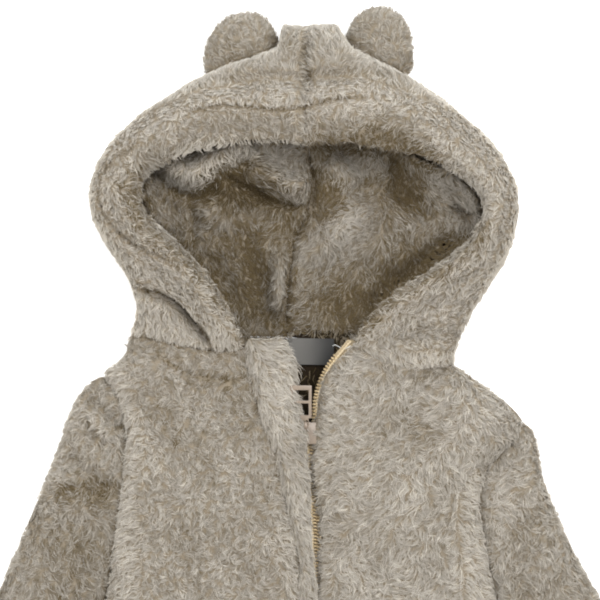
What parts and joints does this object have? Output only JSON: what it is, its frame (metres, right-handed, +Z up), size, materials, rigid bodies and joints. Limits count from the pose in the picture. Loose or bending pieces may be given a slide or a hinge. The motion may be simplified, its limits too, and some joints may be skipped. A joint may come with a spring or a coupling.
{
  "type": "footed sleepsuit",
  "caption": "Hooded footed sleepsuit for a baby in teddy fleece, with round ears on the hood and a front zip, laid flat on its back.",
  "frame": {"origin": "middle of the suit in plan, on the surface it lies on", "axes": "+X to the wearer's left, +Y from the feet to the hood, +Z up from the surface, out of the wearer's chest"},
  "size_m": [0.4246, 0.769, 0.0517],
  "materials": {
    "fleece": "long-pile teddy fleece, matt, in a warm grey beige",
    "label": "white woven satin, bare",
    "zip_tape": "cream woven zip tape",
    "zip_teeth": "gold beige coil",
    "zip_metal": "beige pink enamel"
  },
  "bodies": {
    "suit": {"hood_right": "fleece", "hood_left": "fleece", "ear_right_front": "fleece", "ear_right_back": "fleece", "ear_left_front": "fleece", "ear_left_back": "fleece", "front_right": "fleece", "front_left": "fleece", "back": "fleece", "sleeve_right": "fleece", "sleeve_left": "fleece", "foot_right": "fleece", "foot_left": "fleece", "sole_right": "fleece", "sole_left": "fleece", "zip_guard": "fleece", "size_label": "label", "zip_tape_right": "zip_tape", "zip_tape_left": "zip_tape", "zip_teeth_right": "zip_teeth", "zip_teeth_left": "zip_teeth", "zip_slider": "zip_metal"},
    "pull": {"zip_pull": "zip_metal"}
  },
  "joints": [
    {"name": "pull_tab", "type": "hinge", "parent": "suit", "child": "pull", "pos_m": [0.00048, 0.13244, 0.0306], "axis": [1, 0, 0], "range_deg": [0, 110]}
  ]
}
